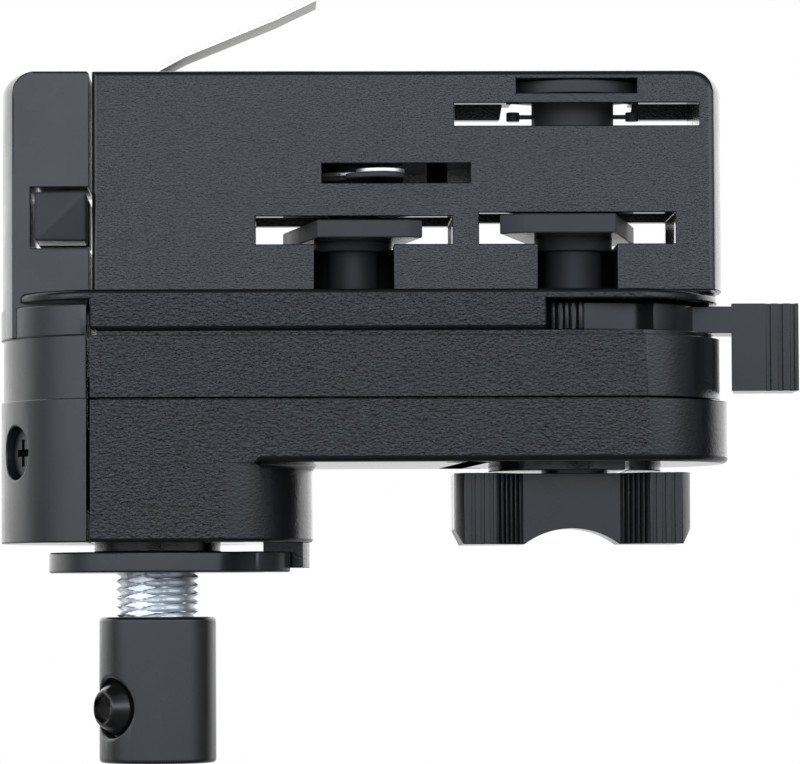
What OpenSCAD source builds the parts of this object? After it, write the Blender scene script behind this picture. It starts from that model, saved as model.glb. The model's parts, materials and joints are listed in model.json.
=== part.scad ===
// Track light adapter: two locking wings geared together and turned by a lever,
// a phase selector turned by a knob, and a swivelling hollow stem with a cord grip.
// The stem axis is the Z axis and the underside of the stem boss is Z = 0.
// +X runs along the track towards the lever, and -Y is the front.

/* [Layout] */
// Distance from the stem axis to the axis of the first wing
axis_a_x = 23.6; // [23:0.1:25]
// Distance between the axes of the two wings, which is twice the gears' pitch radius
axis_spacing = 26.6; // [26.2:0.1:27.4]
// Face of the housings that the end cap closes, from the stem axis
seam_x = -7.5; // [-8.6:0.1:-7.4]
// Open joint between the end cap and the housings
seam_gap = 0.35; // [0.2:0.05:0.5]

/* [Lower housings] */
// Width across the flats of the lower housings
body_w = 33.4; // [33:0.2:36]
// Reach of the rounded end past the stem axis
stem_reach = 18.7; // [18.5:0.1:20]
// Reach of the base past the lever's axis
base_reach = 18.5; // [18:0.1:20]
// Reach of the waist past the lever's axis
waist_reach = 17.6; // [17.2:0.1:17.8]
// Reach of the collar past the lever's axis
collar_reach = 17.3; // [17:0.1:17.8]
// Where the flats end and the arched ends begin, past the lever's axis
crease_x = 7.6; // [6:0.1:7.7]
// Where the flats end and the round of the boss and the end cap begins, from the stem axis
stem_crease_x = 8.4; // [8.4:0.1:9]
// Height of the stem boss below the base
boss_h = 9.3; // [9:0.1:12]
// Height of the base beside the boss
base_h = 7.6; // [7:0.1:10]
// Height of the waist
waist_h = 7.3; // [6:0.1:10]
// Height of the open groove between the waist and the collar
groove_h = 0.6; // [0.4:0.1:0.8]
// Height of the collar
collar_h = 4.8; // [4.6:0.1:6]
// Wall of the hollow housings
wall = 2; // [1.6:0.1:2.4]
// Floor of the stem boss
boss_floor = 4; // [3.5:0.1:4.5]
// Floor of the base
base_floor = 2; // [1.8:0.1:3]
// Deck under the collar that carries the wing shafts
deck_t = 2.6; // [2:0.1:3]
// Top plate of the collar
plate_t = 1.2; // [1:0.1:1.6]
// How far the band of the end cap beside the waist is set back
band_inset = 0.3; // [0.1:0.05:0.5]
// How far the waist's rim is set back behind the groove
rim_inset = 0.8; // [0.5:0.1:0.9]
// Height of the fine line between the base and the waist
parting_h = 0.2; // [0.1:0.05:0.4]

/* [Contact housing] */
// Thickness of the contact housing, front to back
contact_w = 17.6; // [17.2:0.1:18]
// Height of the contact housing above the collar
contact_h = 26.5; // [26:0.1:30]
// Reach of the contact housing past the lever's axis
contact_reach = 17.8; // [17.4:0.1:18.4]
// How far the contact housing's ends bulge out past their flats
contact_bulge = 1.6; // [1.2:0.1:2.4]
// Wall of the contact housing in front of its cavities
contact_wall = 2; // [1.6:0.1:2.4]
// Radius of the top corners
corner_r = 2.6; // [1:0.1:4]

/* [Wings and gears] */
// Turning radius of a wing's tips
wing_tip_r = 13; // [12.4:0.1:13.1]
// Half the length of a wing across the track
wing_reach = 11.3; // [10.5:0.1:11.4]
// Short side of a wing's end, from its axis
wing_short = 4.4; // [3.6:0.1:5]
// Long side of the first wing's rounded end, from its axis
wing_long = 8.7; // [7.4:0.1:8.7]
// Long side of the second wing's rounded end, from its axis
wing_b_long = 9.8; // [7.4:0.1:9.8]
// Long side of a wing's other end, from its axis
wing_back = 8.3; // [7.4:0.1:8.7]
// Thickness of a wing
wing_t = 2.1; // [1.6:0.1:2.4]
// Underside of the first wing above the collar
wing_a_level = 6.4; // [6.2:0.1:7]
// Underside of the second wing above the collar
wing_b_level = 6.9; // [6.6:0.1:7.2]
// Diameter of the first wing's shaft
shaft_a_d = 6.1; // [5.8:0.1:6.6]
// Diameter of the second wing's hollow shaft
shaft_b_d = 7.05; // [6.8:0.05:7.4]
// Teeth that a full gear would have
gear_teeth = 52; // [44:4:60]
// Thickness of the gears and of the lever's arm
gear_t = 3.2; // [2.8:0.1:3.3]
// Play between the gears' teeth at the pitch circle
backlash = 0.12; // [0.08:0.01:0.2]

/* [Lever] */
// Width of the lever's arm and finger tab
lever_w = 8; // [6:0.2:8.4]
// Inner face of the finger tab, from the lever's axis
tab_from = 18.7; // [18.7:0.1:19.4]
// Length of the finger tab
tab_l = 8.1; // [6:0.1:10]
// Height of the finger tab
tab_h = 10.5; // [8:0.1:10.8]

/* [Phase selector] */
// Length of the knob
knob_l = 28.2; // [24:0.2:30]
// Width of the knob
knob_w = 15; // [13:0.2:18]
// Height of the knob
knob_h = 8.5; // [8:0.1:9]
// Diameter of the selector shaft
selector_d = 3.4; // [3:0.1:3.5]
// Diameter of the phase rotor's barrel
barrel_d = 9.9; // [9:0.1:10.6]
// Radius of the phase rotor's top disc
disc_r = 8.65; // [7.6:0.05:8.7]

/* [Stem and cord grip] */
// Outer diameter of the stem's thread
stem_d = 9.85; // [9.5:0.05:10]
// Diameter of the cable bore through the stem
cable_d = 7.2; // [6.4:0.1:7.4]
// Radius of the stop washer
washer_r = 13; // [12:0.1:13.2]
// Thickness of the stop washer
washer_t = 2.45; // [2:0.05:3]
// Outer diameter of the cord grip
grip_d = 14; // [13.4:0.1:16]
// Length of the cord grip
grip_l = 17.45; // [16:0.05:22]
// Length of bare thread between the stop washer and the cord grip
thread_l = 5.25; // [4:0.05:8]
// Diameter of the cord grip's screw
grip_screw_d = 6.4; // [5.6:0.1:6.6]

/* [Catch and earth spring] */
// Width of a catch along the track
catch_w = 6.1; // [5:0.1:6.1]
// Height of a catch
catch_h = 5.9; // [5:0.1:6.6]
// How far a catch stands out of the housing's face
catch_out = 1.5; // [1:0.1:2]
// Width of the earth spring
earth_w = 8; // [6:0.1:10]
// Thickness of the earth spring
earth_t = 0.45; // [0.3:0.05:0.6]

/* [Hidden] */
$fn = 64;

black = [0.12, 0.12, 0.13];
nickel = [0.78, 0.77, 0.74];
zinc = [0.72, 0.74, 0.77];
brass = [0.78, 0.62, 0.32];
ivory = [0.85, 0.85, 0.83];

// Clearances
run_gap = 0.06;
fit_gap = 0.03;
end_play = 0.1;
swing_gap = 0.3;
turn_gap = 0.4;
over = 1;

// Levels
half_w = body_w / 2;
contact_half_w = contact_w / 2;
axis_b_x = axis_a_x + axis_spacing;
z_floor = boss_h;
z_waist = z_floor + base_h;
z_rim = z_waist + waist_h;
z_collar = z_rim + groove_h;
z_contact = z_collar + collar_h;
z_plate = z_contact - plate_t;
z_deck = z_collar - deck_t;
z_top = z_contact + contact_h;

// Gears and lever
pitch_r = axis_spacing / 2;
gear_m = 2 * pitch_r / gear_teeth;
tooth_step = 360 / gear_teeth;
tip_r = pitch_r + 0.8 * gear_m;
root_r = pitch_r - 1.15 * gear_m;
pressure_angle = 20;
gear_base_r = pitch_r * cos(pressure_angle);
flank_steps = 4;
gear_lift = 0.15;
gear_z = z_collar + gear_lift;
swing_deg = 90;
lever_teeth = round(swing_deg / tooth_step);
lever_plain_deg = 40;
shoulder_step = 0.9;
shoulder_r = tip_r + shoulder_step;
shoulder_from = -53;
shoulder_to = 40;
lever_hub_r = 8;
sector_hub_r = 6;
cavity_a_r = tip_r + turn_gap;
cavity_b_r = shoulder_r + turn_gap;
slot_play = 0.2;
slot_side = lever_w / 2 + slot_play;
tab_rise = 0.35;
tab_draft = 0.9;
tab_z = gear_z + gear_t + tab_rise - tab_h;
tab_groove = 0.5;
tab_groove_step = 1.45;
tab_groove_count = 3;

// Shafts
journal_a_r = 2;
journal_b_r = 2.44;
square_relief = 0.2;
square_a = (shaft_a_d - square_relief) / sqrt(2);
square_b = (shaft_b_d - square_relief) / sqrt(2);
shaft_bore_r = selector_d / 2 + run_gap;
shaft_shoulder_z = z_plate - end_play;
shaft_foot_z = z_deck + end_play;
wing_a_z = z_contact + wing_a_level;
wing_b_z = z_contact + wing_b_level;
wing_b_extra = 0.2;
wing_b_t = wing_t + wing_b_extra;
wing_cavity_r = wing_tip_r + turn_gap;
wing_slot_half = wing_reach + turn_gap;
wing_slot_play = 0.6;
wing_floor_z = wing_a_z - wing_slot_play;
wing_a_roof_z = wing_a_z + wing_t + wing_slot_play;
wing_b_roof_z = wing_b_z + wing_b_t + swing_gap;
wing_relief = 1.8;
shaft_open_r = 4.75;
wing_ring_r = shaft_open_r - run_gap;
wing_ring_sink = 0.5;
wing_ring_z = wing_floor_z - wing_ring_sink;
inner_y = contact_half_w - contact_wall;
contact_line = [0.5, 0.25];

// Contacts
neutral_level = 13.7;
neutral_z = z_contact + neutral_level;
neutral_t = 1.1;
carrier_t = 0.6;
carrier_shift = [-1.3, 0.6];
neutral_side = [0.3, 6.1];
neutral_reach = 10.4;
neutral_nose_r = (neutral_side[1] - neutral_side[0]) / 2;
neutral_nose = [neutral_side[0] + neutral_nose_r, neutral_nose_r - neutral_reach];
neutral_cavity_r = norm(neutral_nose) + neutral_nose_r + swing_gap;
neutral_play = 0.6;
neutral_slot = [-3.8, 13.9];
neutral_ring = 1.4;
shaft_cap = 0.2;
shaft_a_end = 2.4;
shaft_a_top = neutral_z + neutral_t + neutral_play + shaft_a_end;
phase_slot_half = 14.6;
phase_level = 19.9;
phase_slot_z = z_contact + phase_level;
phase_slot_h = 2.7;
phase_t = 1.1;
phase_w = 5;
phase_reach = 10.2;
phase_z = phase_slot_z + (phase_slot_h - phase_t) / 2;
phase_bar_h = 2.2;
phase_gap_low = [-8.9, 7.1];
phase_gap_high = [-8.2, 7.7];
rotor_arm = 7.2;
rotor_arm_w = 0.7;
rotor_arm_h = 0.5;
rotor_knob_r = 0.8;
rotor_knob_h = 1.1;
rotor_arm_z = phase_slot_z + phase_slot_h - swing_gap - rotor_knob_h / 2;
disc_slot_half = 7.2;
disc_slot_h = 1.7;
disc_t = disc_slot_h - 2 * end_play;
disc_level = 23.8;
disc_slot_z = z_contact + disc_level;
disc_z = disc_slot_z + (disc_slot_h - disc_t) / 2;
barrel_level = 17.4;
barrel_z = z_contact + barrel_level;

// Knob
knob_gap = 1.1;
knob_z = z_floor - knob_gap - knob_h;
knob_shift = -0.6;
knob_hub_r = 4;
knob_hub_rise = 0.4;
knob_hub_top = z_floor + base_floor + knob_hub_rise;
knob_crown = 0.9;
knob_round_r = knob_l / 2 + knob_crown;
knob_web_w = 8.4;
knob_web_half = 5.8;
knob_flank_half = 9.2;
knob_arch_r = 9.5;
knob_arch_h = 1.9;
knob_chamfer = [1, 1.8];
knob_groove_w = 0.42;
knob_groove_step = 1.1;
knob_groove_count = 3;
knob_groove_from = 2.2;
knob_flank_grooves = 5;
selector_sink = 3.4;
selector_foot = knob_z + selector_sink;
index_r = 10.4;
index_h = 0.85;
index_slit = [5.5, 0.5];

// Stem, stop and cord grip
bearing_r = 7.6;
bearing_h = 1;
washer_z = -bearing_h - run_gap - washer_t;
stop_l = 4;
stop_r = washer_r + stop_l;
stop_turn = [-45, -20];
lug_inset = 0.3;
lug_r = [washer_r + turn_gap, stem_reach - lug_inset];
lug_turn = [-19, -7];
lug_h = 3;
nut_flats = 14;
nut_h = 5;
nut_z = boss_floor + end_play;
nut_corner_r = nut_flats / 2 / cos(30);
stem_proud = 2.4;
stem_top = nut_z + nut_h + stem_proud;
grip_top = washer_z - thread_l;
grip_z = grip_top - grip_l;
grip_screw_level = 6.6;
grip_screw_z = grip_z + grip_screw_level;
stem_foot = grip_screw_z + grip_screw_d / 2 + turn_gap;
grip_bore_step = 0.4;
grip_bore_r = cable_d / 2 + grip_bore_step;
flat_turn = 26;
flat_depth = 0.45;
grip_screw_turn = 55;
grip_screw_from = grip_bore_r + swing_gap;
grip_screw_l = 2;
grip_screw_cone_h = 1.6;
grip_screw_end_r = 2.1;
grip_seat_step = 0.35;
grip_seat_from = 5.4;
hex_flats = 3;
hex_depth = 2.2;

// End cap and its screws
cap_x = seam_x - seam_gap;
cap_top_inset = 0.2;
cap_top_reach = stem_reach - cap_top_inset;
tongue_inset = 0.4;
tongue_bulge = stem_reach - stem_crease_x - tongue_inset;
tongue_gap = 0.25;
cap_shoulder = 0.5;
cap_wall = 4.5;
cap_inner_r = stem_reach - cap_wall;
cap_hollow_h = 3;
cap_hollow_top = z_waist + cap_hollow_h;
cap_screw_z = 10.7;
cap_screw_turn = 27;
cap_hole_r = 3.2;
cap_seat_t = 1.6;
cap_seat_r = cap_inner_r + cap_seat_t;
cap_post_r = 3.1;
cap_post_from = 6.6;
cap_post_to = sqrt(pow(cap_inner_r, 2) - pow(cap_post_r, 2)) - run_gap;
cap_screw_r = 1.3;
cap_head_r = 2.7;
cap_head_h = 1.8;
cap_screw_grip = 4.6;
cap_screw_foot = cap_inner_r - cap_screw_grip;
notch_level = 5.4;
notch_z = z_contact + notch_level;
notch_play = [0.45, 0.35];
notch_floor = 0.8;
notch_roof = 0.5;
notch_h = notch_floor + catch_h + notch_roof;
notch_from = cap_x - catch_w - notch_play[0] - notch_play[1];
catch_x = notch_from + notch_play[0];
catch_foot = notch_z + notch_floor;
catch_inner = 1.5;
catch_facet = 18;
spring_r = 1.4;
spring_wire_r = 0.25;
spring_play = 0.25;
spring_bore_r = spring_r + spring_wire_r + spring_play;
spring_half = 5;
spring_turns = 6;
coil_sides = 8;
coil_steps = 14;

// Earth spring, from its pivot
earth_x = -2;
earth_sink = 0.6;
earth_z = z_top - earth_sink;
earth_path = [[-0.5, -0.9], [0, 0], [5.4, 2.9], [16.2, 7.3], [21.2, 9.7]];
earth_pocket = [-1.4, 6.5];
earth_pocket_h = 1.8;

// Screws that hold the housings
screw_r = 1.25;
screw_hole_r = 1.3;
screw_head_r = 2.2;
screw_head_h = 1.4;
screw_post_r = 2.6;
screw_tip_gap = 0.2;
housing_screw_inset = 3.4;
housing_screw_y = half_w - housing_screw_inset;
stem_screw_x = 8;
housing_screw_x = [stem_screw_x, axis_a_x + pitch_r];
housing_screw_skin = 0.8;
housing_screw_top = z_plate - housing_screw_skin;
clamp_seat_h = 0.4;
clamp_seat_y = contact_half_w - screw_head_h - clamp_seat_h;
clamp_x = [13.8, 9.5];
clamp_low = [3.3, 2.9];
clamp_high = [17, 14.7];
clamp_spots = [
  [seam_x + clamp_x[0], z_contact + clamp_low[0]], [seam_x + clamp_x[0], z_contact + clamp_high[0]],
  [axis_b_x + clamp_x[1], z_contact + clamp_low[1]], [axis_b_x + clamp_x[1], z_contact + clamp_high[1]]
];
clamp_skin = 2.6;
clamp_foot = clamp_skin - contact_half_w;
peg_r = 1.4;
peg_y = 5.2;
peg_inset = 11.8;
peg_x = [seam_x + peg_inset, axis_a_x + pitch_r];

// Terminal block
block_l = 11;
block_w = 21;
block_h = 8.4;
block_shift = 4;
block_x = axis_a_x - block_l / 2 + block_shift;
terminal_step = 6.8;
terminal_screw_r = 1.6;
terminal_screw_gap = 0.4;
terminal_slot = [0.5, 0.8];
wire_r = 1.5;
wire_drop = 1;

function arch_r(half, bulge) = (half * half + bulge * bulge) / 2 / bulge;
function polar(r, a) = [r * cos(a), r * sin(a)];
function involute(a) = tan(a) * 180 / PI - a;
function tooth_half(r) =
  90 / gear_teeth - backlash / 4 / pitch_r * 180 / PI
  + involute(pressure_angle) - involute(acos(gear_base_r / r));

// Flats from one edge to another
module strip(x_from, x_to, half) {
  polygon([[x_from, -half], [x_to, -half], [x_to, half], [x_from, half]]);
}

// Flats from a straight edge to an arched end, all set in by inset
module arch_plan(x_from, x_far, bulge, half, inset = 0) {
  side = sign(x_far - x_from);
  r = arch_r(half, bulge);
  centre_x = x_far - side * r;
  intersection() {
    strip(x_from + side * inset, x_far, half - inset);
    union() {
      strip(x_from, centre_x, half);
      translate([centre_x, 0])
        circle(r - inset);
    }
  }
}

// Plan of a lower housing, from the seam to its end at the lever
module housing_plan(reach, inset = 0) {
  arch_plan(seam_x, axis_b_x + reach, reach - crease_x, half_w, inset);
}

module boss_plan(inset = 0) {
  arch_plan(seam_x, stem_reach, stem_reach - stem_crease_x, half_w, inset);
}

// Plan of the end cap, left of the open joint
module cap_plan(inset = 0) {
  arch_plan(cap_x + inset, -stem_reach, stem_reach - stem_crease_x, half_w, inset);
}

module slab(z_from, z_to) {
  translate([0, 0, z_from])
    linear_extrude(z_to - z_from)
      children();
}

module post(x, y, z_from, z_to, r) {
  translate([x, y, z_from])
    cylinder(r = r, h = z_to - z_from);
}

module block(from, to) {
  translate(from)
    cube(to - from);
}

// A slice of a circle, up to a half turn
module pie(r, a_from, a_to) {
  mid = (a_from + a_to) / 2;
  intersection() {
    circle(r);
    polygon([[0, 0], polar(2 * r, a_from), polar(2 * r, mid), polar(2 * r, a_to)]);
  }
}

module tooth(a) {
  radii = [for (i = [0 : flank_steps]) root_r - gear_m / 4 + i * (tip_r - root_r + gear_m / 4) / flank_steps];
  rising = [for (r = radii) polar(r, a - tooth_half(r))];
  falling = [for (i = [flank_steps : -1 : 0]) polar(radii[i], a + tooth_half(radii[i]))];
  polygon(concat(rising, falling));
}

// Upper body from a flat end to an arched one, with the top corner rounded along the arch
module arched_body(x_flat, x_far, z_from) {
  r = arch_r(contact_half_w, contact_bulge);
  centre_x = x_far - sign(x_far - x_flat) * r;
  round_x = r - corner_r;
  intersection() {
    slab(z_from, z_top)
      strip(x_flat, x_far, contact_half_w);
    union() {
      slab(z_from, z_top)
        strip(x_flat, centre_x, contact_half_w);
      translate([centre_x, 0, 0])
        rotate_extrude() {
          polygon([
            [0, z_from], [r, z_from], [r, z_top - corner_r],
            [round_x, z_top - corner_r], [round_x, z_top], [0, z_top]
          ]);
          translate([round_x, z_top - corner_r])
            circle(corner_r);
        }
    }
  }
}

// Plan of a locking wing: a leaning plate with its corners on the turning circle
module wing_plan(long) {
  intersection() {
    circle(wing_tip_r);
    polygon([
      [-long, -wing_reach], [wing_short, -wing_reach],
      [wing_back, wing_reach], [-wing_short, wing_reach]
    ]);
  }
}

// A pan-head screw along +Z with its head's seat at zero
module pan_screw(shank_r, shank_l, head_r, head_h) {
  slot_w = head_r * 0.32;
  difference() {
    union() {
      cylinder(r = shank_r, h = shank_l);
      translate([0, 0, -head_h])
        cylinder(r = head_r, h = head_h);
    }
    for (turn = [0, 90])
      rotate([0, 0, turn])
        translate([-head_r * 0.6, -slot_w / 2, -head_h - over])
          cube([head_r * 1.2, slot_w, over + head_h * 0.6]);
  }
}

module cap_screw_place(side) {
  translate([0, 0, cap_screw_z])
    rotate([0, 0, 180 - side * cap_screw_turn])
      rotate([0, 90, 0])
        children();
}

// Room for a wing to turn in, open at the front and the rear and higher behind the walls
module wing_cut(x, roof_z) {
  slab(wing_floor_z, roof_z)
    translate([x, 0])
      circle(wing_cavity_r);
  block([x - wing_slot_half, -contact_w, wing_floor_z], [x + wing_slot_half, contact_w, roof_z]);
  block([x - wing_slot_half, -inner_y, wing_floor_z], [x + wing_slot_half, inner_y, roof_z + wing_relief]);
}

// Room for the phase rotor's blade: a slot in front, and behind it a lower one with a taller middle
module phase_cut() {
  block([axis_b_x - phase_slot_half, -contact_w, phase_slot_z],
        [axis_b_x + phase_slot_half, 0, phase_slot_z + phase_slot_h]);
  block([axis_b_x - phase_slot_half, -inner_y, phase_slot_z], [axis_b_x + phase_slot_half, inner_y, disc_slot_z]);
  block([axis_b_x - phase_slot_half, 0, phase_slot_z],
        [axis_b_x + phase_slot_half, contact_w, phase_slot_z + phase_bar_h]);
  translate([axis_b_x, contact_w, 0])
    rotate([90, 0, 0])
      linear_extrude(contact_w)
        polygon([
          [phase_gap_low[0], phase_slot_z], [phase_gap_low[1], phase_slot_z],
          [phase_gap_high[1], disc_slot_z], [phase_gap_high[0], disc_slot_z]
        ]);
}

// Everything that is cut out of the contact housing
module contact_cuts() {
  wing_cut(axis_a_x, wing_a_roof_z);
  wing_cut(axis_b_x, wing_b_roof_z);
  for (x = [axis_a_x, axis_b_x]) {
    post(x, 0, z_contact - over, wing_a_z, shaft_open_r);
    block([x - shaft_open_r, -contact_w, z_contact - over], [x + shaft_open_r, 0, wing_a_z]);
  }
  post(axis_a_x, 0, wing_a_z, neutral_z, shaft_a_d / 2 + run_gap);
  intersection() {
    post(axis_a_x, 0, neutral_z - neutral_play, neutral_z + neutral_t + neutral_play, neutral_cavity_r);
    block([axis_a_x - contact_w, -inner_y, neutral_z - over],
          [axis_a_x + contact_w, neutral_side[1] + neutral_play, neutral_z + neutral_t + over]);
  }
  block([axis_a_x + neutral_slot[0], -contact_w, neutral_z - neutral_play],
        [axis_a_x + neutral_slot[1], 0, neutral_z + neutral_t + neutral_play]);
  post(axis_a_x, 0, neutral_z, shaft_a_top + shaft_cap, journal_a_r + run_gap);
  post(axis_b_x, 0, wing_b_z, barrel_z, shaft_bore_r);
  post(axis_b_x, 0, barrel_z - end_play, disc_slot_z + over, barrel_d / 2 + run_gap);
  phase_cut();
  post(axis_b_x, 0, disc_slot_z, disc_slot_z + disc_slot_h, disc_r + swing_gap);
  block([axis_b_x - disc_slot_half, -contact_w, disc_slot_z],
        [axis_b_x + disc_slot_half, contact_w, disc_slot_z + disc_slot_h]);
  block([earth_x + earth_pocket[0], -earth_w / 2 - swing_gap, z_top - earth_pocket_h],
        [earth_x + earth_pocket[1], earth_w / 2 + swing_gap, z_top + over]);
  for (spot = clamp_spots) {
    translate([spot[0], clamp_foot, spot[1]])
      rotate([-90, 0, 0])
        cylinder(r = screw_hole_r, h = contact_w);
    translate([spot[0], clamp_seat_y, spot[1]])
      rotate([-90, 0, 0])
        cylinder(r = screw_head_r + swing_gap, h = screw_head_h + over);
  }
}

// One half of the contact housing, side -1 in front and 1 behind
module contact_half(side) {
  far_x = axis_b_x + contact_reach;
  difference() {
    intersection() {
      union() {
        slab(z_contact, z_contact + corner_r)
          arch_plan(seam_x, far_x, contact_bulge, contact_half_w, contact_line[0]);
        arched_body(seam_x, far_x, z_contact + contact_line[1]);
      }
      block([seam_x - over, side < 0 ? -contact_w : 0, z_contact - over],
            [far_x + over, side < 0 ? 0 : contact_w, z_top + over]);
    }
    contact_cuts();
  }
  for (x = peg_x)
    post(x, side * peg_y, z_plate, z_contact, peg_r);
}

module contact_housing_front() {
  color(black)
    contact_half(-1);
}

module contact_housing_rear() {
  color(black)
    contact_half(1);
}

module end_cap() {
  shoulder_z = z_plate - cap_shoulder;
  color(black)
    difference() {
      union() {
        slab(0, z_waist)
          cap_plan();
        slab(z_waist, z_rim)
          cap_plan(band_inset);
        slab(z_rim, shoulder_z)
          cap_plan();
        arched_body(cap_x, -cap_top_reach, z_rim);
      }
      slab(boss_floor, cap_hollow_top)
        intersection() {
          circle(cap_inner_r);
          strip(-stem_reach, cap_x, cap_inner_r);
        }
      block([notch_from, -contact_w, notch_z], [seam_x, contact_w, notch_z + notch_h]);
      for (side = [-1, 1])
        cap_screw_place(side) {
          cylinder(r = cap_screw_r + run_gap, h = stem_reach + over);
          translate([0, 0, cap_seat_r])
            cylinder(r = cap_hole_r, h = stem_reach);
        }
    }
}

module cap_screws() {
  color(zinc)
    for (side = [-1, 1])
      cap_screw_place(side)
        translate([0, 0, cap_seat_r])
          mirror([0, 0, 1])
            pan_screw(cap_screw_r, cap_seat_r - cap_screw_foot, cap_head_r, cap_head_h);
}

module collar() {
  far_x = axis_b_x + collar_reach;
  color(black)
    difference() {
      union() {
        slab(z_collar, z_contact)
          housing_plan(collar_reach);
        slab(z_plate, z_contact)
          difference() {
            arch_plan(seam_x + over, -stem_reach + tongue_inset, tongue_bulge, half_w);
            strip(-stem_reach, seam_x, contact_half_w + tongue_gap);
          }
      }
      post(axis_a_x, 0, z_collar - over, z_plate, cavity_a_r);
      post(axis_b_x, 0, z_collar - over, z_plate, cavity_b_r);
      block([axis_b_x - slot_side, -body_w, z_collar - over], [far_x + over, slot_side, z_plate]);
      post(axis_a_x, 0, z_collar, z_contact + over, shaft_a_d / 2 + run_gap);
      post(axis_b_x, 0, z_collar, z_contact + over, shaft_b_d / 2 + run_gap);
      for (x = peg_x, side = [-1, 1])
        post(x, side * peg_y, z_plate - over, z_contact + over, peg_r + fit_gap);
      for (x = housing_screw_x, side = [-1, 1])
        post(x, side * housing_screw_y, z_collar - over, housing_screw_top + screw_tip_gap, screw_hole_r);
    }
}

module waist_housing() {
  color(black)
    difference() {
      union() {
        difference() {
          union() {
            slab(z_waist, z_rim)
              housing_plan(waist_reach);
            slab(z_rim, z_collar)
              housing_plan(waist_reach, rim_inset);
          }
          slab(z_waist - over, z_deck)
            housing_plan(waist_reach, wall);
        }
        for (x = housing_screw_x, side = [-1, 1])
          post(x, side * housing_screw_y, z_waist, z_collar, screw_post_r);
      }
      post(axis_a_x, 0, z_waist, z_collar + over, journal_a_r + run_gap);
      post(axis_b_x, 0, z_waist, z_collar + over, journal_b_r + run_gap);
      for (x = housing_screw_x, side = [-1, 1])
        post(x, side * housing_screw_y, z_waist - over, z_collar + over, screw_hole_r);
    }
}

// Lug under the boss that stops the washer's tab
module stop_lug() {
  slab(-lug_h, 0)
    difference() {
      pie(lug_r[1], lug_turn[0], lug_turn[1]);
      circle(lug_r[0]);
    }
}

module base_hollow() {
  slab(boss_floor, z_waist + over)
    boss_plan(wall);
  slab(z_floor + base_floor, z_waist + over)
    housing_plan(base_reach, wall);
}

module base_housing() {
  color(black)
    difference() {
      union() {
        difference() {
          union() {
            slab(0, z_floor + over)
              boss_plan();
            slab(z_floor, z_waist - parting_h)
              housing_plan(base_reach);
            slab(z_waist - over, z_waist)
              housing_plan(waist_reach, rim_inset);
          }
          base_hollow();
        }
        for (side = [-1, 1])
          cap_screw_place(side)
            translate([0, 0, cap_post_from])
              cylinder(r = cap_post_r, h = cap_post_to - cap_post_from);
        for (side = [-1, 1]) {
          post(housing_screw_x[0], side * housing_screw_y, 0, z_waist, screw_post_r);
          post(housing_screw_x[1], side * housing_screw_y, z_floor, z_waist, screw_post_r);
        }
        post(0, 0, -bearing_h, over, bearing_r);
        stop_lug();
        difference() {
          post(axis_b_x, 0, z_floor - index_h, z_floor, index_r);
          block([axis_b_x + index_slit[0], -index_r, z_floor - index_h - over],
                [axis_b_x + index_slit[0] + index_slit[1], index_r, z_floor]);
        }
      }
      post(0, 0, -bearing_h - over, boss_floor + over, stem_d / 2 + run_gap);
      post(0, 0, boss_floor, nut_z + nut_h + swing_gap, nut_corner_r + swing_gap);
      post(axis_b_x, 0, z_floor - index_h - over, z_waist, knob_hub_r + run_gap);
      for (side = [-1, 1]) {
        cap_screw_place(side)
          cylinder(r = cap_screw_r + run_gap, h = stem_reach);
        for (i = [0, 1]) {
          seat_z = i == 0 ? 0 : z_floor;
          post(housing_screw_x[i], side * housing_screw_y, seat_z - over, z_waist + over, screw_hole_r);
          post(housing_screw_x[i], side * housing_screw_y, seat_z - over, seat_z + screw_head_h,
               screw_head_r + swing_gap);
        }
      }
    }
}

module housing_screws() {
  color(zinc)
    for (i = [0, 1], side = [-1, 1]) {
      seat_z = (i == 0 ? 0 : z_floor) + screw_head_h;
      translate([housing_screw_x[i], side * housing_screw_y, seat_z])
        pan_screw(screw_r, housing_screw_top - seat_z, screw_head_r, screw_head_h);
    }
}

module clamp_screws() {
  color(zinc)
    for (spot = clamp_spots)
      translate([spot[0], clamp_seat_y, spot[1]])
        rotate([90, 0, 0])
          pan_screw(screw_r, clamp_seat_y - clamp_foot - screw_tip_gap, screw_head_r, screw_head_h);
}

module locking_lever() {
  color(black)
    translate([axis_b_x, 0, 0]) {
      difference() {
        union() {
          slab(gear_z, gear_z + gear_t)
            union() {
              circle(lever_hub_r);
              pie(root_r, 180 - 1.5 * tooth_step, 180 + swing_deg + lever_plain_deg);
              for (i = [-1 : lever_teeth])
                tooth(180 + i * tooth_step);
              pie(shoulder_r, shoulder_from, shoulder_to);
              translate([0, -lever_w / 2])
                square([tab_from + tab_draft + over, lever_w]);
            }
          slab(tab_z, tab_z + tab_h)
            polygon([
              [tab_from, -lever_w / 2], [tab_from + tab_l, -lever_w / 2],
              [tab_from + tab_l, lever_w / 2], [tab_from + tab_draft, lever_w / 2]
            ]);
        }
        slab(gear_z - over, gear_z + gear_t + over)
          square(square_b + 2 * fit_gap, center = true);
        for (i = [0 : tab_groove_count - 1], side = [-1, 1]) {
          groove_x = tab_from + tab_l - tab_groove - i * tab_groove_step;
          block([groove_x - tab_groove, side * lever_w / 2 - tab_groove, tab_z - over],
                [groove_x, side * lever_w / 2 + tab_groove, tab_z + tab_h + over]);
        }
      }
    }
}

module gear_sector() {
  color(black)
    translate([axis_a_x, 0, 0])
      slab(gear_z, gear_z + gear_t)
        difference() {
          union() {
            circle(sector_hub_r);
            pie(root_r, -swing_deg - 2 * tooth_step, 2 * tooth_step);
            for (i = [-lever_teeth - 1 : 1])
              tooth((i + 0.5) * tooth_step);
          }
          square(square_a + 2 * fit_gap, center = true);
        }
}

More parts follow.
